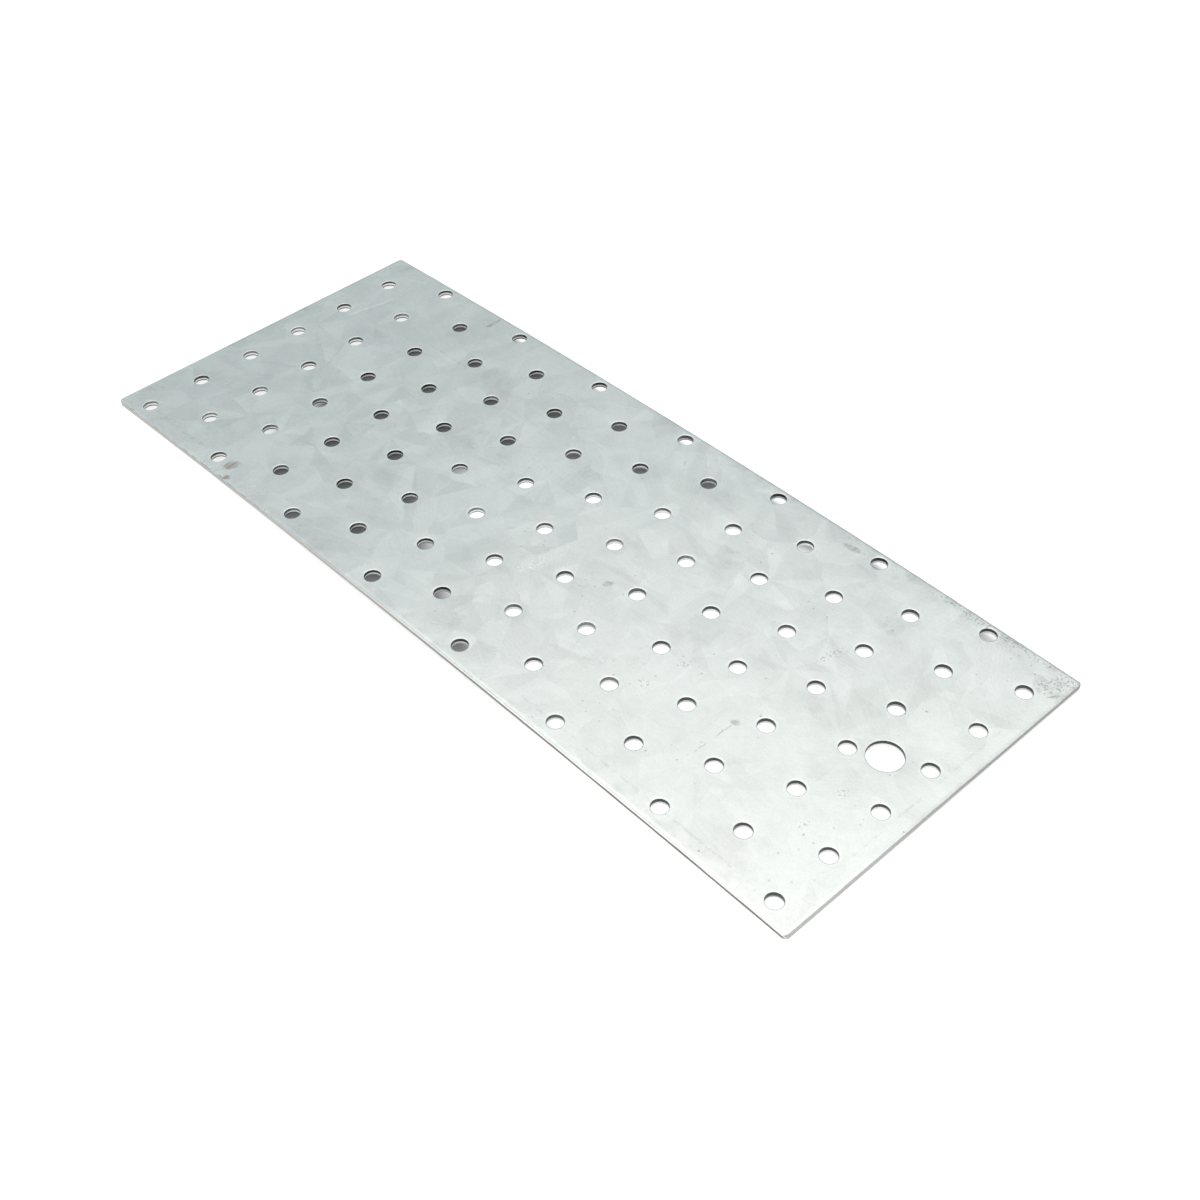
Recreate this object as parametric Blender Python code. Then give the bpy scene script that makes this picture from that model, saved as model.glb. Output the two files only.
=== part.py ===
"""Perforated nail plate: one punched sheet of galvanised steel that joins two timbers.

The plate lies flat with +Z up. Its origin is the middle of its footprint, at the level of the
surface it rests on. X runs along the plate, toward the end with the large hole, and Y across it.
"""

import math

import bmesh
import bpy

# Sheet
LENGTH = 0.300
WIDTH = 0.120
THICKNESS = 0.002
CORNER_RADIUS = 0.0015
CORNER_SEGMENTS = 4

# The sheet keeps a slight set from the coil: its middle stands this far above its two ends.
BOW_RISE = 0.003

# Nail holes: straight rows across the plate, every other row moved by half a pitch.
HOLE_DIAMETER = 0.005
HOLE_PITCH = 0.020
HOLES_PER_ROW = 6
ROWS = 15
ROW_SPACING = 0.020
HOLE_SEGMENTS = 20

# The punched pattern sits a little off the middle of the sheared sheet.
PATTERN_SHIFT_X = 0.0009
PATTERN_SHIFT_Y = 0.0007

# One large hole on the pattern's centreline, between the last two rows.
LARGE_HOLE_DIAMETER = 0.0105
LARGE_HOLE_AFTER_ROW = 13
LARGE_HOLE_STEP = 0.00875
LARGE_HOLE_SEGMENTS = 36

# The punches stand out past both faces of the bowed sheet.
PUNCH_LENGTH = 0.020

# Zinc-coated steel: cold pale grey, metallic, softly matt.
ZINC_COLOUR = (0.66, 0.69, 0.69, 1.0)
ZINC_METALLIC = 1.0
ZINC_ROUGHNESS = 0.42

# Edges that turn by more than this stay sharp in the shading.
SHARP_ANGLE = math.radians(30.0)


def clear_scene():
    for obj in list(bpy.data.objects):
        bpy.data.objects.remove(obj, do_unlink=True)


def row_x(row):
    return (row - (ROWS - 1) / 2) * ROW_SPACING + PATTERN_SHIFT_X


def nail_hole_centres():
    """Centres of the nail holes; odd rows are half a pitch further toward +Y."""
    centres = []
    for row in range(ROWS):
        stagger = HOLE_PITCH / 4 if row % 2 else -HOLE_PITCH / 4
        for column in range(HOLES_PER_ROW):
            across = (column - (HOLES_PER_ROW - 1) / 2) * HOLE_PITCH
            centres.append((row_x(row), across + stagger + PATTERN_SHIFT_Y))
    return centres


def large_hole_centre():
    return row_x(LARGE_HOLE_AFTER_ROW) + LARGE_HOLE_STEP, PATTERN_SHIFT_Y


def bow_height(x):
    """Height of the underside above the ends, on the smooth arch."""
    along = x / (LENGTH / 2)
    return BOW_RISE * (1 - along * along)


def bend_lines():
    """The arch is built from flat facets, one for each row of holes, that meet midway between rows."""
    return [row_x(row) + ROW_SPACING / 2 for row in range(ROWS - 1)]


def facet_height(x):
    """Height of the underside at x: straight from one bend line to the next."""
    stations = [-LENGTH / 2] + bend_lines() + [LENGTH / 2]
    for start, end in zip(stations, stations[1:]):
        if x <= end:
            share = (x - start) / (end - start)
            return bow_height(start) * (1 - share) + bow_height(end) * share
    return 0.0


def round_corners(bm):
    """Rounds the four upright edges of the flat slab."""
    upright = []
    for edge in bm.edges:
        start, end = (vert.co for vert in edge.verts)
        if abs(start.z - end.z) > THICKNESS / 2:
            upright.append(edge)
    bmesh.ops.bevel(
        bm,
        geom=upright,
        affect="EDGES",
        offset=CORNER_RADIUS,
        segments=CORNER_SEGMENTS,
        profile=0.5,
    )


def bow_slab(bm):
    """Cuts the flat slab across at the bend lines and lifts it onto the arch."""
    for x in bend_lines():
        geometry = bm.verts[:] + bm.edges[:] + bm.faces[:]
        bmesh.ops.bisect_plane(bm, geom=geometry, plane_co=(x, 0, 0), plane_no=(1, 0, 0))
    for vert in bm.verts:
        vert.co.z += facet_height(vert.co.x)


def sheet_mesh():
    """The bare sheet, before punching."""
    bm = bmesh.new()
    bmesh.ops.create_cube(bm, size=1.0)
    bmesh.ops.scale(bm, vec=(LENGTH, WIDTH, THICKNESS), verts=bm.verts[:])
    bmesh.ops.translate(bm, vec=(0, 0, THICKNESS / 2), verts=bm.verts[:])
    round_corners(bm)
    bow_slab(bm)
    mesh = bpy.data.meshes.new("perforated_plate")
    bm.to_mesh(mesh)
    bm.free()
    return mesh


def add_punch(bm, centre, diameter, segments):
    """One round upright punch that passes right through the sheet."""
    made = bmesh.ops.create_cone(
        bm,
        cap_ends=True,
        segments=segments,
        radius1=diameter / 2,
        radius2=diameter / 2,
        depth=PUNCH_LENGTH,
    )
    bmesh.ops.translate(bm, vec=(centre[0], centre[1], 0), verts=made["verts"])


def punch_tool():
    """All the punches, as one cutter."""
    bm = bmesh.new()
    for centre in nail_hole_centres():
        add_punch(bm, centre, HOLE_DIAMETER, HOLE_SEGMENTS)
    add_punch(bm, large_hole_centre(), LARGE_HOLE_DIAMETER, LARGE_HOLE_SEGMENTS)
    mesh = bpy.data.meshes.new("punch_tool")
    bm.to_mesh(mesh)
    bm.free()
    tool = bpy.data.objects.new("punch_tool", mesh)
    bpy.context.collection.objects.link(tool)
    tool.hide_render = True
    tool.display_type = "WIRE"
    return tool


def zinc_material():
    material = bpy.data.materials.new("galvanised_steel")
    material.use_nodes = True
    shader = material.node_tree.nodes["Principled BSDF"]
    shader.inputs["Base Color"].default_value = ZINC_COLOUR
    shader.inputs["Metallic"].default_value = ZINC_METALLIC
    shader.inputs["Roughness"].default_value = ZINC_ROUGHNESS
    return material


def punch_holes(plate):
    """Cuts all the holes and splits the pierced faces into even triangles."""
    tool = punch_tool()
    punch = plate.modifiers.new("punch", "BOOLEAN")
    punch.operation = "DIFFERENCE"
    punch.solver = "EXACT"
    punch.object = tool
    split = plate.modifiers.new("split", "TRIANGULATE")
    split.quad_method = "BEAUTY"
    split.ngon_method = "BEAUTY"
    depsgraph = bpy.context.evaluated_depsgraph_get()
    punched = bpy.data.meshes.new_from_object(plate.evaluated_get(depsgraph))
    plate.modifiers.clear()
    plate.data = punched
    bpy.data.objects.remove(tool, do_unlink=True)


def perforated_plate():
    plate = bpy.data.objects.new("perforated_plate", sheet_mesh())
    bpy.context.collection.objects.link(plate)
    plate.data.materials.append(zinc_material())
    punch_holes(plate)
    plate.data.shade_smooth()
    plate.data.set_sharp_from_angle(angle=SHARP_ANGLE)
    return plate


def main():
    clear_scene()
    perforated_plate()


main()
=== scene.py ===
import math
import random

import bmesh
import bpy
from mathutils import Matrix, Vector
from mathutils.geometry import delaunay_2d_cdt


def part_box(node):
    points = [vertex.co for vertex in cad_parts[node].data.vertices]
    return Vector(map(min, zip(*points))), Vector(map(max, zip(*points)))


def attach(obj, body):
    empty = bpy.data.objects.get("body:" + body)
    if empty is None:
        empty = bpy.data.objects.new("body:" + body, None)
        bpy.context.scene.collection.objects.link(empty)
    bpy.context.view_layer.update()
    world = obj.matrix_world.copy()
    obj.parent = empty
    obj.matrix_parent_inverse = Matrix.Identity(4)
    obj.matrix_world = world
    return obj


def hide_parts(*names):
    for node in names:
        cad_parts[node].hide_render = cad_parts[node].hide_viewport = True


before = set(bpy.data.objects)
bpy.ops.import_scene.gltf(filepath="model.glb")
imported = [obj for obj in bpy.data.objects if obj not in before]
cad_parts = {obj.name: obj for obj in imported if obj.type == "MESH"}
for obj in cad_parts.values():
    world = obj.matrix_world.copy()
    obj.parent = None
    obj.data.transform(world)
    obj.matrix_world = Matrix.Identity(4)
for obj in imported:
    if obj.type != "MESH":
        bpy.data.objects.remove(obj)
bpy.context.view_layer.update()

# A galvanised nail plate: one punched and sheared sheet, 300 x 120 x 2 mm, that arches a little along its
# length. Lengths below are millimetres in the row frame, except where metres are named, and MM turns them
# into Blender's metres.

MM = 0.001
CAD_NODE = "perforated_plate"
LOW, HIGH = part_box(CAD_NODE)

# ---- the sheet ----
LENGTH = (HIGH.x - LOW.x) / MM
WIDTH = (HIGH.y - LOW.y) / MM
THICKNESS = 2.0
BOW_RISE = (HIGH.z - LOW.z) / MM - THICKNESS
CORNER_RADIUS = 1.5

# ---- the punched pattern, as in the CAD ----
ROWS = 15
HOLES_PER_ROW = 6
PITCH = 20.0
STAGGER = PITCH / 4
SHIFT_X = 0.9
SHIFT_Y = 0.7
HOLE_RADIUS = 2.5
LARGE_RADIUS = 5.25
LARGE_AFTER_ROW = 13
LARGE_STEP = 8.75

# ---- how finely the mesh is cut ----
HOLE_SEGMENTS = 48
LARGE_SEGMENTS = 96
CORNER_STEPS = 6
EDGE_STEP = 2.5
GRID_STEP = 4.0
GRID_CLEARANCE = 1.2
SAME_POINT = 1e-6
SHARP_ANGLE = math.radians(40)

# The sheared edge isn't quite straight: its rings within WANDER_REACH of the cut slip in by up to WANDER.
WANDER = 0.05
WANDER_REACH = 0.5
WANDER_SEED = 300120

# The order of the sheet's materials.
TOP, UNDERSIDE, PUNCHED_WALL, SHEARED_EDGE = range(4)

# Sections through a cut, from the top face to the underside: (how far back from the cut, depth, how
# burnished). The punch drags the top face in, shears a burnished land, breaks out wider through the rest
# and leaves a low burr. From the foot depth down, the wall is painted dark as a contact shadow.
SHADED_FOOT_DEPTH = 1.6
PUNCHED = (
    (0.60, 0.000, 0.0),
    (0.32, 0.008, 0.0),
    (0.15, 0.032, 0.0),
    (0.06, 0.080, 0.4),
    (0.01, 0.150, 1.0),
    (0.00, 0.260, 1.0),
    (0.00, 0.600, 1.0),
    (0.03, 1.350, 0.0),
    (0.06, 1.550, 0.0),
    (0.09, 1.640, 0.0),
    (0.12, 2.000, 0.0),
    (0.22, 2.025, 0.0),
    (0.38, 2.000, 0.0),
    (0.60, 2.000, 0.0),
)
# The short ends are burnished in their upper half. The long edges are rounded at the top and burnished
# in their lower half, which the edge material paints dark, partly as a contact shadow.
END_CUT = (
    (1.10, 0.000, 0.0),
    (0.60, 0.010, 0.0),
    (0.30, 0.035, 0.0),
    (0.12, 0.085, 0.1),
    (0.03, 0.160, 0.7),
    (0.00, 0.260, 1.0),
    (0.00, 0.850, 1.0),
    (0.02, 1.100, 0.0),
    (0.04, 1.500, 0.0),
    (0.06, 1.900, 0.2),
    (0.12, 2.000, 0.3),
    (1.10, 2.000, 0.0),
)
LONG_CUT = (
    (1.10, 0.000, 0.0),
    (0.75, 0.020, 0.0),
    (0.42, 0.075, 0.0),
    (0.20, 0.160, 0.0),
    (0.07, 0.290, 0.0),
    (0.03, 0.460, 0.0),
    (0.02, 0.700, 0.0),
    (0.00, 1.050, 0.8),
    (0.00, 1.400, 1.0),
    (0.03, 1.920, 1.0),
    (0.12, 2.000, 0.7),
    (1.10, 2.000, 0.0),
)


def arch(x):
    """Height of the underside above the surface it stands on, at x along the sheet."""
    return BOW_RISE * (1 - (2 * x / LENGTH) ** 2)


def row_x(row):
    """Where a row of holes crosses the sheet."""
    return (row - (ROWS - 1) / 2) * PITCH + SHIFT_X


def holes():
    """(x, y, radius, segments) of every hole."""
    places = []
    for row in range(ROWS):
        stagger = STAGGER if row % 2 else -STAGGER
        for column in range(HOLES_PER_ROW):
            y = (column - (HOLES_PER_ROW - 1) / 2) * PITCH + stagger + SHIFT_Y
            places.append((row_x(row), y, HOLE_RADIUS, HOLE_SEGMENTS))
    places.append((row_x(LARGE_AFTER_ROW) + LARGE_STEP, SHIFT_Y, LARGE_RADIUS, LARGE_SEGMENTS))
    return places


def circle(x, y, radius, segments):
    """Points round a circle, anticlockwise."""
    turns = [2 * math.pi * step / segments for step in range(segments)]
    return [(x + radius * math.cos(turn), y + radius * math.sin(turn)) for turn in turns]


def outline():
    """Points round the sheet, anticlockwise: (point, outward direction, how far it is a short end)."""
    half_x = LENGTH / 2 - CORNER_RADIUS
    half_y = WIDTH / 2 - CORNER_RADIUS
    corners = ((half_x, -half_y), (half_x, half_y), (-half_x, half_y), (-half_x, -half_y))
    points = []
    for quarter, (x, y) in enumerate(corners):
        for step in range(CORNER_STEPS + 1):
            turn = (quarter - 1 + step / CORNER_STEPS) * math.pi / 2
            out = Vector((math.cos(turn), math.sin(turn)))
            points.append((Vector((x, y)) + out * CORNER_RADIUS, out, abs(out.x)))
        following = Vector(corners[(quarter + 1) % 4])
        start = points[-1][0]
        run = following - Vector((x, y))
        parts = round(run.length / EDGE_STEP)
        for part in range(1, parts):
            points.append((start + run * part / parts, points[-1][1], points[-1][2]))
    return points


def flat_net(rings, border):
    """Triangles that cover the sheet between the border and the rings, on points a few millimetres apart."""
    points = [Vector(p) for p in border]
    links = [(i, (i + 1) % len(border)) for i in range(len(border))]
    loops = [list(range(len(border)))]
    for ring in rings:
        first = len(points)
        points += [Vector(p) for p in ring]
        loops.append(list(range(first, len(points))))
        links += [(first + i, first + (i + 1) % len(ring)) for i in range(len(ring))]
    points += grid()
    made, _, triangles, came_from, _, _ = delaunay_2d_cdt(points, links, [], 0, SAME_POINT)
    now_at = {old: new for new, olds in enumerate(came_from) for old in olds}
    loops = [[now_at[i] for i in loop] for loop in loops]
    ring_of = {i: n for n, loop in enumerate(loops[1:]) for i in loop}
    kept = []
    for triangle in triangles:
        owners = {ring_of.get(i) for i in triangle}
        if len(owners) > 1 or None in owners:
            kept.append(triangle)
    return made, kept, loops


def grid():
    """The points of a staggered grid over the sheet that are clear of its border and holes."""
    points = []
    for i in range(1, int(LENGTH / GRID_STEP)):
        x = i * GRID_STEP - LENGTH / 2
        for j in range(1, int(WIDTH / GRID_STEP)):
            y = (j + (i % 2) / 2) * GRID_STEP - WIDTH / 2
            if is_clear(Vector((x, y))):
                points.append(Vector((x, y)))
    return points


def is_clear(spot):
    """Whether a grid point is clear of the border and of every hole's rim."""
    reach = PUNCHED[0][0] + GRID_CLEARANCE
    if abs(spot.x) > LENGTH / 2 - reach or abs(spot.y) > WIDTH / 2 - reach:
        return False
    return all((spot - Vector((x, y))).length > radius + reach for x, y, radius, _ in holes())


def lift(x, y, depth):
    """The place, in metres, of a point of the sheet that is `depth` below its top face."""
    return Vector((x, y, arch(x) + THICKNESS - depth)) * MM


def cut_wall(mesh, rings, top_loop, bottom_loop, layers, wall_index):
    """Joins the top net to the bottom net through a cut's rings of ((x, y), depth, burnish, zone)."""
    burnish_layer, zone_layer = layers
    upper_loop = top_loop
    for upper, lower in zip(rings, rings[1:]):
        if lower is rings[-1]:
            lower_loop = bottom_loop
        else:
            lower_loop = []
            for (x, y), depth, burnish, zone in lower:
                vert = mesh.verts.new(lift(x, y, depth))
                vert[burnish_layer] = burnish
                vert[zone_layer] = zone
                lower_loop.append(vert)
        for i in range(len(lower)):
            j = (i + 1) % len(lower)
            face = mesh.faces.new((upper_loop[i], upper_loop[j], lower_loop[j], lower_loop[i]))
            face.material_index = cut_material(upper[i], lower[i], wall_index)
        upper_loop = lower_loop


def cut_material(upper, lower, wall_index):
    """The wall's own material where a cut's section is steep, and the nearer face's where it is flat."""
    fall = lower[1] - upper[1]
    back = (Vector(lower[0]) - Vector(upper[0])).length
    if fall > back:
        return wall_index
    return TOP if lower[1] < THICKNESS / 2 else UNDERSIDE


def hole_rings(x, y, radius, segments):
    """The rings of a punched hole, from its rim on the top face to its rim on the underside."""
    rings = []
    for back, depth, burnish in PUNCHED:
        zone = float(depth > SHADED_FOOT_DEPTH)
        rings.append([(point, depth, burnish, zone) for point in circle(x, y, radius + back, segments)])
    return rings


def edge_rings(wander):
    """The rings of the sheared edge, which wanders a few hundredths of a millimetre along its run."""
    rings = []
    for end_cut, long_cut in zip(END_CUT, LONG_CUT):
        ring = []
        for (point, out, on_end), slip in zip(outline(), wander):
            blended = [along + (short - along) * on_end for short, along in zip(end_cut, long_cut)]
            back, depth, burnish = blended
            if back < WANDER_REACH:
                back += slip
            ring.append((tuple(point - out * back), depth, burnish, on_end))
        rings.append(ring)
    return rings


def build_sheet():
    """The sheet as one closed mesh: a top net, an underside net, and a wall round each hole and the edge."""
    draw = random.Random(WANDER_SEED)
    wander = [draw.uniform(0.0, WANDER) for _ in outline()]
    edge = edge_rings(wander)
    border = [point for point, _, _, _ in edge[0]]
    walls = [hole_rings(*hole) for hole in holes()]
    rims = [[point for point, _, _, _ in rings[0]] for rings in walls]
    net, triangles, loops = flat_net(rims, border)

    mesh = bmesh.new()
    layers = mesh.verts.layers.float.new("burnish"), mesh.verts.layers.float.new("zone")
    top = [mesh.verts.new(lift(p.x, p.y, 0.0)) for p in net]
    bottom = [mesh.verts.new(lift(p.x, p.y, THICKNESS)) for p in net]
    for triangle in triangles:
        mesh.faces.new([top[i] for i in triangle])
        mesh.faces.new([bottom[i] for i in reversed(triangle)]).material_index = UNDERSIDE
    for rings, loop in zip([edge] + walls, loops):
        wall_index = SHEARED_EDGE if rings is edge else PUNCHED_WALL
        cut_wall(mesh, rings, [top[i] for i in loop], [bottom[i] for i in loop], layers, wall_index)
    bmesh.ops.recalc_face_normals(mesh, faces=mesh.faces)
    for face in mesh.faces:
        face.smooth = True
    data = bpy.data.meshes.new("punched_sheet")
    mesh.to_mesh(data)
    mesh.free()
    data.set_sharp_from_angle(angle=SHARP_ANGLE)
    sheet = bpy.data.objects.new("punched_sheet", data)
    bpy.context.scene.collection.objects.link(sheet)
    return sheet


# ---- materials ----
ZINC_TWICE = (1.32, 1.42, 1.40, 1)  # twice the zinc's colour, so that a shade of a half is the colour itself
BLACK = (0.0, 0.0, 0.0, 1)
STAIN_BROWN = (0.30, 0.26, 0.20, 1)

# A zinc crystal is made of plates of two sizes, (length, width), and of fine needles. Round its heart a fan
# of wedges lies over them, full within FAN_CORE and gone at FAN_REACH. A crystal's seed, times SEEDS_APART,
# takes it to a part of each pattern that no other crystal shows.
CRYSTAL_SIZE = 25.0
SEEDS_APART = {"wedges": 710.0, "plates": 130.0, "needles": 17.0}
CHANCE_STEPS = (0.618, 0.414, 0.732)  # from one listed crystal's random numbers to the next's
WEDGES = 11.0
FAN_REACH = 16.0
FAN_CORE = 11.0
LONG_PLATE = (19.0, 5.5)
SHORT_PLATE = (12.0, 7.0)
PLATE_TURN = 1.05
NEEDLE = (9.0, 0.7)
NEEDLE_STEP = 1.25
CRYSTAL_TILT = 0.018
UNDERSIDE_SHIFT = (431.0, 277.0, 0.0)  # takes the underside's pattern from elsewhere in the noise

# How much each part of the zinc lightens (+) or darkens (-) it, as a share of its own brightness.
TONE_OF = {
    "crystals": 0.060,
    "clouds": 0.12,
    "grain": 0.24,
    "coarse grain": 0.08,
    "feathers": -0.035,
    "dirt": -0.13,
    "pits": -0.30,
}

# How far grime reaches in from the -X end and from the long edges, and the dirtiest corner, as a mark.
END_GRIME = 12.0
LONG_GRIME = 11.0
DIRTY_CORNER = (146.0, 56.0, 22.0, 12.0, 60.0)

# Hearts of the top face's clearest crystals, (x, y).
HEARTS = (
    (62, 18), (84, 49), (10, -36), (-112, 2), (91, 5), (52, -31),
    (42, 52), (-73, 3), (110, -36), (-42, 8), (1, -15), (-95, -33),
)
# Its marks, (x, y, length, width, angle in degrees): dull dark crystals, grey smudges, brown stains, faint
# dark lines, dark flecks, pale scratches and pale splashes of zinc.
TOP_MARKS = {
    "dulled": (
        (-63.8, 32.5, 21.0, 13.0, -35),
        (-15.0, 27.5, 24.0, 12.0, -25),
        (20.0, 44.0, 22.0, 19.0, 10),
        (-110.0, -5.0, 12.0, 18.0, 30),
        (-125.0, -25.0, 15.0, 20.0, 0),
        (112.5, 7.0, 26.0, 15.0, 70),
        (67.5, 1.0, 19.0, 12.0, 15),
        (47.5, 26.0, 8.0, 8.0, 45),
        (134.0, 30.0, 10.0, 18.0, 15),
        (101.0, 39.0, 7.0, 7.0, 0),
        (15.0, -43.0, 12.0, 16.0, 0),
    ),
    "smudges": (
        (71.5, 55.0, 8.0, 2.6, 5),
        (9.0, 47.5, 2.8, 0.8, 120),
        (32.0, -7.5, 3.6, 2.6, 60),
        (94.4, -24.0, 8.0, 0.55, 88),
        (94.2, -33.0, 5.0, 0.5, 88),
        (94.6, -19.5, 3.0, 2.4, 30),
        (-92.5, 55.5, 7.0, 2.0, 90),
        (147.5, 50.0, 4.0, 1.1, 50),
        (-90.0, -59.7, 3.4, 1.2, 0),
    ),
    "stains": (
        (-92.3, -54.0, 6.0, 4.2, 72),
        (-88.3, -58.6, 2.8, 2.4, 10),
    ),
    "lines": (
        (-88.0, 32.0, 44.0, 0.5, 0),
        (-16.0, 15.0, 34.0, 0.45, 0),
        (-37.0, 5.5, 36.0, 0.5, 0),
        (-35.0, 47.0, 16.0, 0.5, 0),
        (17.0, 8.7, 11.0, 0.6, 0),
        (18.0, -58.4, 74.0, 0.5, 0),
        (88.0, -54.8, 122.0, 0.9, 0),
        (-122.0, -54.6, 58.0, 1.8, 0),
        (145.2, 0.0, 100.0, 0.7, 90),
    ),
    "flecks": (
        (96.0, 18.0, 12.0, 3.4, 75),
        (67.5, -27.5, 4.5, 3.5, 20),
        (70.0, -14.0, 4.0, 3.0, 60),
        (42.0, -42.0, 5.0, 3.0, 0),
        (130.0, -17.0, 4.5, 3.0, 40),
        (130.0, -32.0, 5.0, 2.6, 70),
        (146.0, 55.0, 17.0, 8.0, 60),
        (120.0, 58.0, 50.0, 3.0, 0),
    ),
    "scratches": (
        (-132.5, 31.0, 26.0, 1.5, 78),
    ),
    "splashes": (
        (10.0, -18.0, 15.0, 5.5, 75),
    ),
}
NO_MARKS = {kind: () for kind in TOP_MARKS}


class Field:
    """A number that varies over a surface. Arithmetic on it adds Math nodes."""

    def __init__(self, tree, socket):
        self.tree = tree
        self.socket = socket

    def __add__(self, other):
        return self.tree.math("ADD", self, other)

    def __sub__(self, other):
        return self.tree.math("SUBTRACT", self, other)

    def __mul__(self, other):
        return self.tree.math("MULTIPLY", self, other)

    def __truediv__(self, other):
        return self.tree.math("DIVIDE", self, other)

    def __rsub__(self, other):
        return self.tree.math("SUBTRACT", other, self)

    __radd__ = __add__
    __rmul__ = __mul__


class Tree:
    """Short-hand for building one material's nodes."""

    def __init__(self, name):
        self.material = bpy.data.materials.new(name)
        self.material.use_nodes = True
        self.nodes = self.material.node_tree.nodes
        self.links = self.material.node_tree.links
        self.shader = self.nodes["Principled BSDF"]

    def put(self, socket, value):
        """Links a field to a socket, or sets the socket's own value."""
        if isinstance(value, Field):
            self.links.new(value.socket, socket)
        else:
            socket.default_value = value

    def node(self, kind, inputs=None, **settings):
        made = self.nodes.new("ShaderNode" + kind)
        for key, value in settings.items():
            setattr(made, key, value)
        for key, value in (inputs or {}).items():
            self.put(made.inputs[key], value)
        return made

    def out(self, node, key=0):
        return Field(self, node.outputs[key])

    def math(self, operation, a, b=0.0, c=0.0, clamp=False):
        return self.out(self.node("Math", {0: a, 1: b, 2: c}, operation=operation, use_clamp=clamp))

    def step(self, value, start, end, low=0.0, high=1.0):
        """Eases from low to high while value goes from start to end."""
        inputs = {"Value": value, "From Min": start, "From Max": end, "To Min": low, "To Max": high}
        return self.out(self.node("MapRange", inputs, interpolation_type="SMOOTHSTEP"))

    def place(self, shift=(0.0, 0.0, 0.0)):
        """The point on the piece, in millimetres, with an optional shift."""
        metres = self.out(self.node("TexCoord"), "Object")
        return self.vector("ADD", self.scale(metres, 1 / MM), shift)

    def split(self, vector):
        parts = self.node("SeparateXYZ", {0: vector})
        return self.out(parts, 0), self.out(parts, 1), self.out(parts, 2)

    def join(self, x, y, z=0.0):
        return self.out(self.node("CombineXYZ", {0: x, 1: y, 2: z}))

    def vector(self, operation, a, b):
        return self.out(self.node("VectorMath", {0: a, 1: b}, operation=operation))

    def scale(self, vector, by):
        return self.out(self.node("VectorMath", {0: vector, "Scale": by}, operation="SCALE"))

    def length(self, vector):
        return self.out(self.node("VectorMath", {0: vector}, operation="LENGTH"), "Value")

    def distance(self, a, b):
        return self.out(self.node("VectorMath", {0: a, 1: b}, operation="DISTANCE"), "Value")

    def noise(self, vector, size, detail=2.0, rough=0.5, key="Fac"):
        """Soft noise with features about `size` millimetres across."""
        inputs = {"Vector": vector, "Scale": 1 / size, "Detail": detail, "Roughness": rough}
        return self.out(self.node("TexNoise", inputs, noise_dimensions="3D"), key)

    def drift(self, vector, size, detail=2.0, rough=0.5):
        """Soft noise as a push in any direction, of zero on average."""
        return self.vector("SUBTRACT", self.noise(vector, size, detail, rough, key="Color"), (0.5, 0.5, 0.5))

    def bump(self, height):
        """The surface's direction with fine relief on it, its height in millimetres."""
        return self.out(self.node("Bump", {"Height": height, "Strength": 1.0, "Distance": MM}))

    def attribute(self, name):
        return self.out(self.node("Attribute", attribute_name=name), "Fac")

    def colour(self, factor, low, high):
        """Blends two colours."""
        mix = self.node("Mix", {0: factor, 6: low, 7: high}, data_type="RGBA")
        return self.out(mix, 2)

    def choose(self, factor, low, high):
        """Blends two vectors."""
        mix = self.node("Mix", {0: factor, 4: low, 5: high}, data_type="VECTOR")
        return self.out(mix, 1)


def turned(t, vector, angle):
    """The vector turned about Z."""
    return t.out(t.node("VectorRotate", {"Vector": vector, "Angle": angle}, rotation_type="Z_AXIS"))


def random_cells(t, vector, size):
    """Voronoi cells about `size` across: a random vector for each cell, and each point's nucleus."""
    scatter = {"Vector": vector, "Scale": 1 / size, "Randomness": 0.95}
    cells = t.node("TexVoronoi", scatter, voronoi_dimensions="2D")
    return t.out(cells, "Color"), t.out(cells, "Position")


def crystal_hearts(t, warped, hearts):
    """The heart of the crystal each point belongs to, and that crystal's random vector."""
    chance, heart = random_cells(t, warped, CRYSTAL_SIZE)
    nearest = t.distance(warped, heart)
    for number, (x, y) in enumerate(hearts, 1):
        gap = t.distance(warped, (x, y, 0.0))
        closer = t.math("LESS_THAN", gap, nearest)
        nearest = t.math("MINIMUM", gap, nearest)
        own = tuple(number * step % 1 for step in CHANCE_STEPS)
        heart = t.choose(closer, heart, (x, y, 0.0))
        chance = t.choose(closer, chance, own)
    return heart, chance


def blades(t, place, size, seed):
    """Plates of zinc that lie along x: three random numbers for each. The seed picks a crystal's own set."""
    u, v, _ = t.split(place)
    spot = t.join(u / size[0], v / size[1] + seed * SEEDS_APART["plates"])
    cells, _ = random_cells(t, spot, 1.0)
    return t.split(cells)


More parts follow.
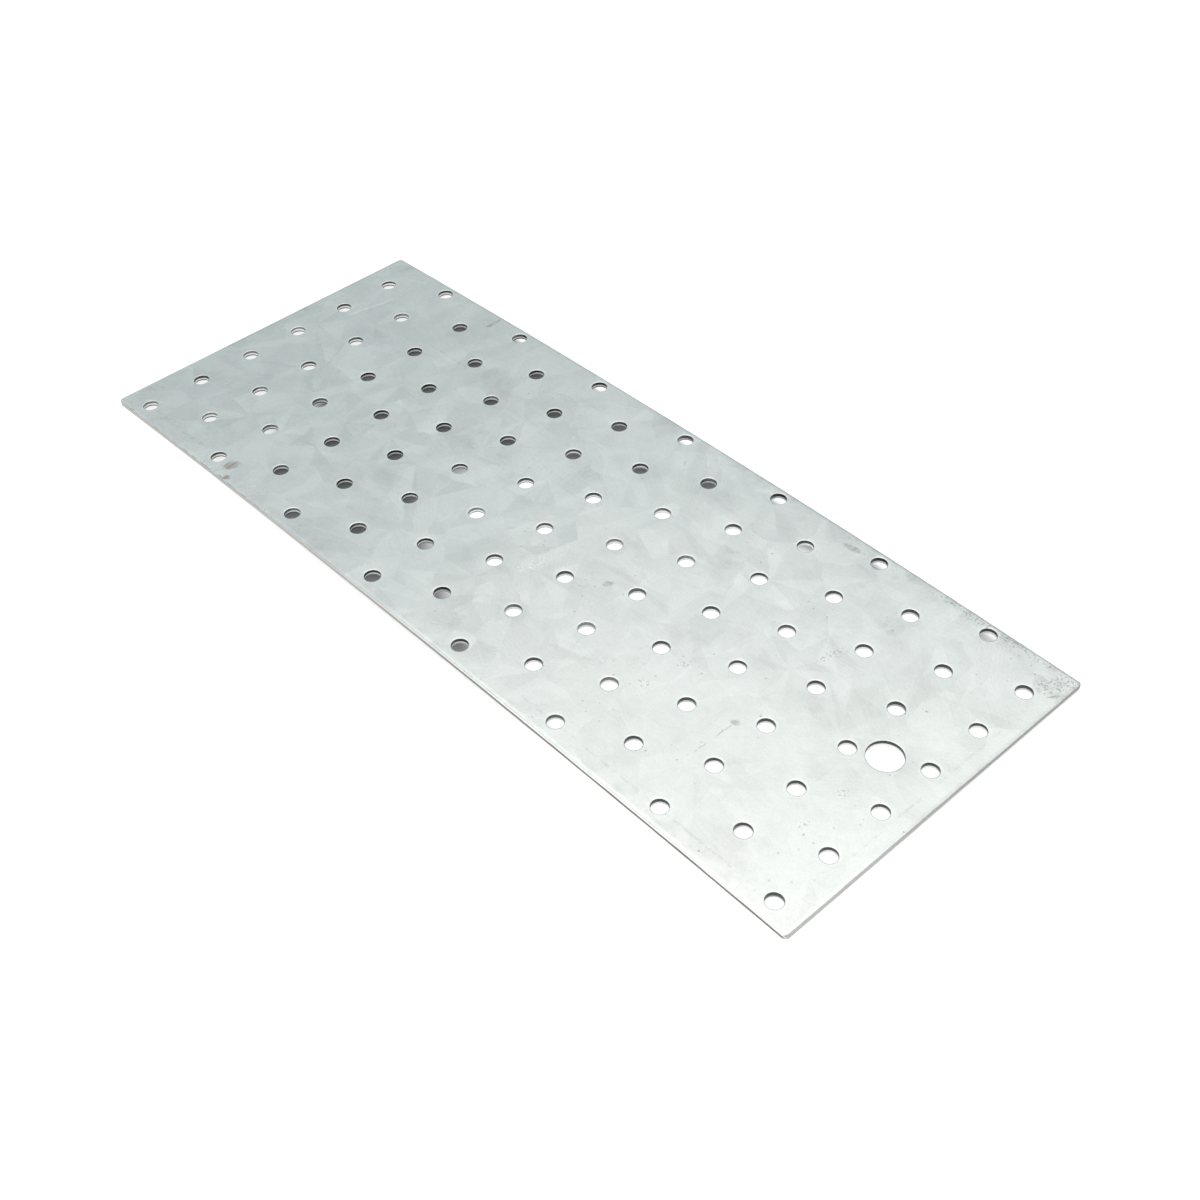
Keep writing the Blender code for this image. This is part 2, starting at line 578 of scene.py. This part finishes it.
def crystal(t, place, arm, chance):
    """One crystal's fan, plates and needles: (brightness from about -1 to 1, lean in x, lean in y)."""
    seed, spin, level = t.split(chance)
    x, y, _ = t.split(turned(t, arm, spin * (2 * math.pi)))
    turn = t.math("ARCTAN2", y, x) / (2 * math.pi)
    reach = t.length(arm)
    wedge = {"W": turn * WEDGES + seed * SEEDS_APART["wedges"], "Scale": 1.0, "Randomness": 1.0}
    fan = t.node("TexVoronoi", wedge, voronoi_dimensions="1D")
    tone, lean, sheen = t.split(t.out(fan, "Color"))
    near_heart = t.step(reach, FAN_REACH, FAN_CORE)
    grown = turned(t, place, spin * math.pi)
    long_tone, long_lines, long_lean = blades(t, grown, LONG_PLATE, seed)
    short_tone, _, short_lean = blades(t, turned(t, grown, PLATE_TURN), SHORT_PLATE, level)
    u, v, _ = t.split(grown)
    along_needles = t.join(u / NEEDLE[0], v / NEEDLE[1], seed * SEEDS_APART["needles"])
    needles = t.noise(along_needles, 1.0, detail=3.0, rough=0.65) - 0.5
    lines = t.math("SINE", v * (2 * math.pi / NEEDLE_STEP) + needles * 5.0)
    lined = t.step(long_lines, 0.5, 0.7)
    fans = (tone - 0.5) * (0.5 + sheen) * near_heart * 1.2
    plates = (long_tone - 0.5) * 0.95 + (short_tone - 0.5) * 0.65
    brightness = fans + plates + (level - 0.5) * 0.5 + needles * 1.1 + lines * lined * 0.16
    return brightness, (lean - 0.5) * near_heart + (long_lean - 0.5), short_lean - 0.5


def spangle(t, place, hearts):
    """The zinc's crystals, with bent and frayed borders: (brightness from about -1 to 1, lean x, lean y)."""
    bend = t.drift(place, 14.0)
    fray = t.drift(place, 1.2, detail=4.0, rough=0.7)
    warped = t.vector("ADD", place, t.vector("ADD", t.scale(bend, 6.0), t.scale(fray, 2.4)))
    warped = t.vector("MULTIPLY", warped, (1.0, 1.0, 0.0))
    heart, chance = crystal_hearts(t, warped, hearts)
    bent = t.vector("ADD", t.scale(bend, 1.5), t.scale(fray, 0.9))
    arm = t.vector("ADD", t.vector("SUBTRACT", place, heart), bent)
    return crystal(t, t.vector("ADD", place, bent), arm, chance)


def hole_distance(t, place):
    """Distance, in millimetres, from the nearest nail hole's centre."""
    x, y, _ = t.split(place)
    row = t.math("ROUND", (x - SHIFT_X) / PITCH)
    off_x = x - SHIFT_X - row * PITCH
    odd = t.math("FLOORED_MODULO", row + 1.0, 2.0)
    y_in_row = y - SHIFT_Y + STAGGER - odd * (2 * STAGGER) - PITCH / 2
    off_y = t.math("WRAP", y_in_row, PITCH / 2, -PITCH / 2)
    return t.math("SQRT", off_x * off_x + off_y * off_y)


def blot(t, rough_place, x, y, length, width, angle):
    """A soft-edged mark: 1 in its middle, 0 outside, `length` by `width`, turned by an angle in degrees."""
    off = turned(t, t.vector("SUBTRACT", rough_place, (x, y, 0.0)), math.radians(-angle))
    scaled = t.vector("MULTIPLY", off, (2 / length, 2 / width, 0.0))
    return t.step(t.length(scaled), 1.15, 0.55)


def most(t, fields):
    """The largest of several fields."""
    highest = fields[0]
    for field in fields[1:]:
        highest = t.math("MAXIMUM", highest, field)
    return highest


def pits(t, place, size, share, radius):
    """Tiny pits: nearly a `share` of cells about `size` across hold one, of `radius` or less."""
    chance, heart = random_cells(t, place, size)
    has, big, _ = t.split(chance)
    away = t.distance(place, heart)
    return t.step(has, share, share * 0.9) * t.step(away, (0.4 + 0.6 * big) * radius, radius * 0.15)


def grime(t, here, place):
    """Handling grime: mottled, and thickest along three edges and in one corner."""
    x, y, _ = t.split(here)
    end = t.step(LENGTH / 2 + x, END_GRIME, 0.0)
    front = t.step(WIDTH / 2 + y, LONG_GRIME, 0.0) * t.step(x, 40.0, -60.0, 0.35, 1.0)
    back_along = 0.5 + t.step(x, -20.0, 110.0) + t.step(x, -90.0, -110.0) * 0.5
    back = t.step(WIDTH / 2 - y, LONG_GRIME, 0.0) * back_along
    corner = blot(t, here, *DIRTY_CORNER) * 1.2
    mottle = t.noise(place, 6.0, detail=5.0, rough=0.7)
    cover = 0.12 + most(t, (end, front, back, corner)) * 0.9
    return cover * t.step(mottle, 0.44, 0.66)


def marked(t, here, place, marks):
    """How dark, how brown and how pale the marks make each point."""
    ragged = t.vector("ADD", here, t.scale(t.drift(place, 1.3, detail=3.0, rough=0.7), 1.6))
    feathered = t.vector("ADD", here, t.scale(t.drift(place, 5.0, detail=4.0, rough=0.7), 13.0))
    cover = {}
    for kind, blots in marks.items():
        edge = feathered if kind == "dulled" else ragged
        cover[kind] = most(t, [blot(t, edge, *mark) for mark in blots])
    streaks = t.step(t.noise(t.vector("MULTIPLY", place, (1.0, 0.25, 0.0)), 0.9), 0.35, 0.6)
    gaps = t.step(t.noise(place, 3.0, detail=3.0, rough=0.7), 0.42, 0.6)
    spots = t.step(t.noise(place, 0.8), 0.54, 0.61)
    dark = cover["smudges"] * (0.12 + streaks * 0.2) + t.step(cover["dulled"], 0.35, 0.5) * 0.048
    drawn = cover["lines"] * gaps * 0.10 + cover["flecks"] * spots * 0.32
    brown = cover["stains"] * (0.35 + streaks * 0.4)
    pale = cover["splashes"] * spots * 0.16 + cover["scratches"] * (0.3 + 0.7 * streaks) * 0.14
    return dark + drawn, brown, pale


def painted_rim_light(t, here):
    """Painted highlights: lighter rims round the nail holes, and a lip at the border painted lighter toward
    -Y and darker, as painted shade, toward +Y.
    """
    x, y, _ = t.split(here)
    border = t.math("MINIMUM", LENGTH / 2 - t.math("ABSOLUTE", x), WIDTH / 2 - t.math("ABSOLUTE", y))
    rim = t.step(hole_distance(t, here), HOLE_RADIUS + 1.3, HOLE_RADIUS + 0.2)
    lip = t.step(border, 1.6, 0.4) * t.step(x, -40.0, 60.0, 0.06, 0.14)
    return rim * 0.06 + lip * t.step(y, 0.0, -50.0, -1.0, 1.0)


def zinc(name, shift, hearts, marks, dull):
    """Hot-dip galvanised face: crystals, clouds, grain, pits, grime, painted highlights on rims and lip, and
    the marks listed for it.
    """
    t = Tree(name)
    here = t.place()
    place = t.vector("MULTIPLY", t.place(shift), (1.0, 1.0, 0.0))
    drawn_out = t.vector("MULTIPLY", place, (0.6, 1.0, 0.0))
    crystals, lean_x, lean_y = spangle(t, place, hearts)
    grain = t.noise(place, 0.6, detail=3.0, rough=0.7) - 0.5
    dirt = grime(t, here, place)
    pitted = pits(t, place, 4.2, 0.55, 0.55) * t.step(t.noise(place, 24.0), 0.5, 0.66)
    parts = {
        "crystals": crystals,
        "clouds": t.noise(place, 26.0, detail=4.0, rough=0.6) - 0.5,
        "grain": grain,
        "coarse grain": t.noise(drawn_out, 1.3) - 0.5,
        "feathers": t.step(t.noise(drawn_out, 13.0, detail=6.0, rough=0.62), 0.57, 0.60),
        "dirt": dirt,
        "pits": pitted,
    }
    # Painted highlights on the hole rims and the border lip, with painted shade on the lip toward +Y.
    brightness = 1.0 + painted_rim_light(t, here)
    for part, field in parts.items():
        brightness = brightness + field * TONE_OF[part]
    stained = 0.0
    if any(marks.values()):
        dark, stained, pale = marked(t, here, place, marks)
        brightness = brightness - dark + pale

    shade = t.math("MULTIPLY", brightness, 0.5, clamp=True)
    bare = t.colour(shade, BLACK, ZINC_TWICE)
    t.put(t.shader.inputs["Base Color"], t.colour(stained, bare, STAIN_BROWN))
    t.shader.inputs["Metallic"].default_value = 1.0
    t.put(t.shader.inputs["Roughness"], 0.40 + dull + crystals * 0.025 + dirt * 0.12 + pitted * 0.2)

    ripple = t.noise(place, 9.0) * 0.05 + grain * 0.008 - pitted * 0.05
    tilted = t.vector("ADD", t.bump(ripple), t.scale(t.join(lean_x, lean_y), CRYSTAL_TILT))
    t.put(t.shader.inputs["Normal"], t.vector("NORMALIZE", tilted, (0.0, 0.0, 0.0)))
    return t.material


def tool_marks(t, here, wear):
    """(streaks dragged down a cut, torn grain, where it is burnished). Wear shortens the burnished land."""
    streak = t.noise(t.vector("MULTIPLY", here, (1.0, 1.0, 0.08)), 0.45, detail=3.0, rough=0.6)
    tear = t.noise(here, 0.35, detail=3.0, rough=0.65)
    uneven = (tear - 0.5) * 0.3 + (t.noise(here, 12.0, detail=1.0) - 0.5) * 0.9
    land = t.step(t.attribute("burnish") + uneven - wear, 0.2, 0.65)
    height = streak * 0.03 + tear * (1.0 - land) * 0.05
    t.put(t.shader.inputs["Normal"], t.bump(height))
    return streak, tear, land


def punched_walls(name):
    """Walls of the holes: a burnished land, painted dark as a dark reflection, over a pale break with a foot
    painted dark as a contact shadow.

    Toward -X, away from the large hole, the land is shorter, the foot's painted shadow is darker, and
    patches of the land keep a paler coat.
    """
    t = Tree(name)
    here = t.place()
    x, _, _ = t.split(here)
    streak, _, land = tool_marks(t, here, t.step(x, 60.0, -60.0, -0.25, 0.1))
    light = t.colour(streak, (0.84, 0.85, 0.84, 1), (0.97, 0.97, 0.96, 1))
    # The burnished land's near-black colours are a painted dark reflection.
    land_painted_dark = t.colour(streak, (0.02, 0.022, 0.021, 1), (0.09, 0.095, 0.09, 1))
    coated = t.colour(streak, (0.12, 0.125, 0.12, 1), (0.30, 0.31, 0.30, 1))
    patches = t.step(t.noise(t.vector("ADD", here, (90.0, 40.0, 0.0)), 12.0, detail=1.0), 0.45, 0.62)
    kept = patches * t.step(x, 95.0, 45.0)
    # The foot's near-black colour is a painted contact shadow. It is darker toward -X, where the sheet sits
    # lower.
    shaded_foot = t.attribute("zone") * t.step(x, 60.0, -60.0, 0.15, 0.95)
    torn = t.colour(shaded_foot, light, (0.03, 0.035, 0.035, 1))
    t.put(t.shader.inputs["Base Color"], t.colour(land, torn, t.colour(kept, land_painted_dark, coated)))
    t.put(t.shader.inputs["Metallic"], land * 0.6)
    t.put(t.shader.inputs["Roughness"], 0.72 - land * 0.3 + (streak - 0.5) * 0.15)
    return t.material


def sheared_edges(name):
    """The sheet's cut edges: pale zinc, darker where the blade burnished them, with the long edges' lower
    band painted dark partly as a contact shadow, and duller toward -X.
    """
    t = Tree(name)
    here = t.place()
    x, y, _ = t.split(here)
    streak, tear, land = tool_marks(t, here, 0.0)
    dull = t.step(x + (tear - 0.5) * 60.0, 70.0, -90.0)
    worked = t.step(y, -40.0, 30.0)
    wall = t.colour(dull, (0.90, 0.89, 0.86, 1), (0.42, 0.425, 0.41, 1))
    # The long edges' burnished lower half: real burnish, and its dark colour is partly a painted contact
    # shadow.
    shaded_foot = t.colour(dull, (0.20, 0.19, 0.175, 1), (0.46, 0.435, 0.41, 1))
    broken = t.colour(worked, (0.50, 0.49, 0.475, 1), (0.62, 0.61, 0.59, 1))
    polished = t.colour(worked, (0.44, 0.43, 0.42, 1), (0.27, 0.265, 0.26, 1))
    end = t.colour(land, broken, polished)
    bare = t.colour(t.attribute("zone"), t.colour(land, wall, shaded_foot), end)
    t.put(t.shader.inputs["Base Color"], t.scale(bare, 0.88 + streak * 0.24))
    t.shader.inputs["Metallic"].default_value = 1.0
    t.put(t.shader.inputs["Roughness"], 0.55 - land * 0.1 + (streak - 0.5) * 0.15)
    return t.material


# ---- studio, in metres ----
FLOOR_RADIUS = 3.0
FLOOR_SEGMENTS = 96
FLOOR_GAP = 0.02 * MM
# The table's base colours: where it glows fully, and under its painted shadow.
LIT_GREY = (0.2, 0.2, 0.2, 1)
SHADOWED_GREY = (0.4, 0.4, 0.4, 1)
ROOM_COLOUR = (0.90, 0.98, 1.0, 1)
ROOM_RADIANCE = 0.68
WARM = (1.0, 0.855, 0.812)
SLIGHTLY_WARM = (1.0, 0.95, 0.93)

# Softboxes: (name, place, side, radiance, tint, the point it faces).
SOFTBOXES = (
    ("overhead", (-0.3, 0.3, 1.3), 1.2, 1.27, WARM, (-0.3, 0.3, 0.0)),
    ("behind", (0.0, 1.2, 1.3), 0.6, 1.43, WARM, (0.0, 1.2, 0.0)),
    ("front", (0.279, -1.036, 0.900), 2.0, 0.84, SLIGHTLY_WARM, (0.0, 0.0, 0.0)),
)

# The table glows, and a painted shadow dims its glow under the plate, in millimetres: an ellipse round the
# middle of the large hole's end stays unshadowed, and by the other end the painted shadow is thinner. Its
# borders are soft.
UNSHADOWED_CENTRE = (LENGTH / 2, -4.0)
UNSHADOWED_REACH = (184.0, 58.0)
SHADOW_BORDER = 4.0
FULL_SHADOW = 0.95
THIN_SHADOW = 0.3
THIN_TO = 40.0
THIN_BORDER = 7.0
THIN_SLANT = 0.2


def studio_floor():
    """A plain white table just below the plate. It glows, except where a painted shadow dims it under the
    plate.
    """
    mesh = bmesh.new()
    bmesh.ops.create_circle(mesh, cap_ends=True, segments=FLOOR_SEGMENTS, radius=FLOOR_RADIUS)
    data = bpy.data.meshes.new("studio_floor")
    mesh.to_mesh(data)
    mesh.free()
    floor = bpy.data.objects.new("studio_floor", data)
    bpy.context.scene.collection.objects.link(floor)
    floor.location.z = LOW.z - FLOOR_GAP
    data.materials.append(table_with_painted_shadow("table_with_painted_shadow"))


def painted_floor_shadow(t):
    """How deep the painted shadow under the plate is: 0 where the table glows fully."""
    x, y, _ = t.split(t.place())
    off_x = (x - UNSHADOWED_CENTRE[0]) / UNSHADOWED_REACH[0]
    off_y = (y - UNSHADOWED_CENTRE[1]) / UNSHADOWED_REACH[1]
    beyond = t.step(t.math("SQRT", off_x * off_x + off_y * off_y), 0.95, 1.1)
    thin_at = THIN_TO - LENGTH / 2
    depth = t.step(x + y * THIN_SLANT, thin_at, thin_at + THIN_BORDER, THIN_SHADOW, FULL_SHADOW)
    inside_x = t.step(LENGTH / 2 - t.math("ABSOLUTE", x), 0.0, SHADOW_BORDER)
    inside_y = t.step(WIDTH / 2 - t.math("ABSOLUTE", y), 0.0, SHADOW_BORDER)
    return beyond * depth * inside_x * inside_y


def table_with_painted_shadow(name):
    """Matt white that gives off its own light, dimmed under the plate by a painted shadow."""
    t = Tree(name)
    # Painted shadow under the plate: it lowers the table's glow there.
    painted_shadow = painted_floor_shadow(t)
    t.put(t.shader.inputs["Base Color"], t.colour(painted_shadow, LIT_GREY, SHADOWED_GREY))
    t.shader.inputs["Roughness"].default_value = 0.9
    t.shader.inputs["Emission Color"].default_value = (1, 1, 1, 1)
    t.put(t.shader.inputs["Emission Strength"], 1.0 - painted_shadow)
    return t.material


def soft_light(name, place, size, radiance, tint, aim):
    """A square softbox that faces a point. The camera doesn't see it, but the zinc does."""
    data = bpy.data.lights.new(name, "AREA")
    data.shape = "SQUARE"
    data.size = size
    data.energy = radiance * math.pi * size * size
    data.color = tint
    lamp = bpy.data.objects.new(name, data)
    bpy.context.scene.collection.objects.link(lamp)
    lamp.location = place
    lamp.visible_camera = False
    lamp.rotation_euler = (Vector(aim) - Vector(place)).to_track_quat("-Z", "Y").to_euler()


def studio_lights():
    """Warm softboxes overhead and behind the plate and one behind the camera, in a cooler grey room."""
    world = bpy.data.worlds.new("studio")
    world.use_nodes = True
    back = world.node_tree.nodes["Background"]
    back.inputs["Color"].default_value = ROOM_COLOUR
    back.inputs["Strength"].default_value = ROOM_RADIANCE
    bpy.context.scene.world = world
    for softbox in SOFTBOXES:
        soft_light(*softbox)


# ---- camera, in metres: the viewpoint from which the plate's corners and holes fall where they should ----
CAMERA_PLACE = Vector((0.30481, -0.25521, 0.35164))
CAMERA_AIM = Vector((0.03419, -0.01278, 0.0035))
CAMERA_LENS = 52.27
CAMERA_ROLL = math.radians(1.89)


def studio_camera():
    """The photograph's viewpoint: a normal lens half a metre away, rolled a little."""
    data = bpy.data.cameras.new("camera")
    data.lens = CAMERA_LENS
    camera = bpy.data.objects.new("camera", data)
    bpy.context.scene.collection.objects.link(camera)
    forward = (CAMERA_AIM - CAMERA_PLACE).normalized()
    level = forward.cross(Vector((0, 0, 1))).normalized()
    down = forward.cross(level)
    right = level * math.cos(CAMERA_ROLL) + down * math.sin(CAMERA_ROLL)
    up = right.cross(forward)
    turn = Matrix((right, up, -forward)).transposed()
    camera.matrix_world = Matrix.Translation(CAMERA_PLACE) @ turn.to_4x4()
    bpy.context.scene.camera = camera


bpy.context.scene.view_settings.view_transform = "Standard"
sheet = build_sheet()
sheet.data.materials.append(zinc("zinc_top", (0.0, 0.0, 0.0), HEARTS, TOP_MARKS, 0.0))
sheet.data.materials.append(zinc("zinc_underside", UNDERSIDE_SHIFT, (), NO_MARKS, 0.05))
sheet.data.materials.append(punched_walls("punched_walls"))
sheet.data.materials.append(sheared_edges("sheared_edges"))
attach(sheet, "root")
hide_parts(CAD_NODE)

studio_floor()
studio_lights()
studio_camera()
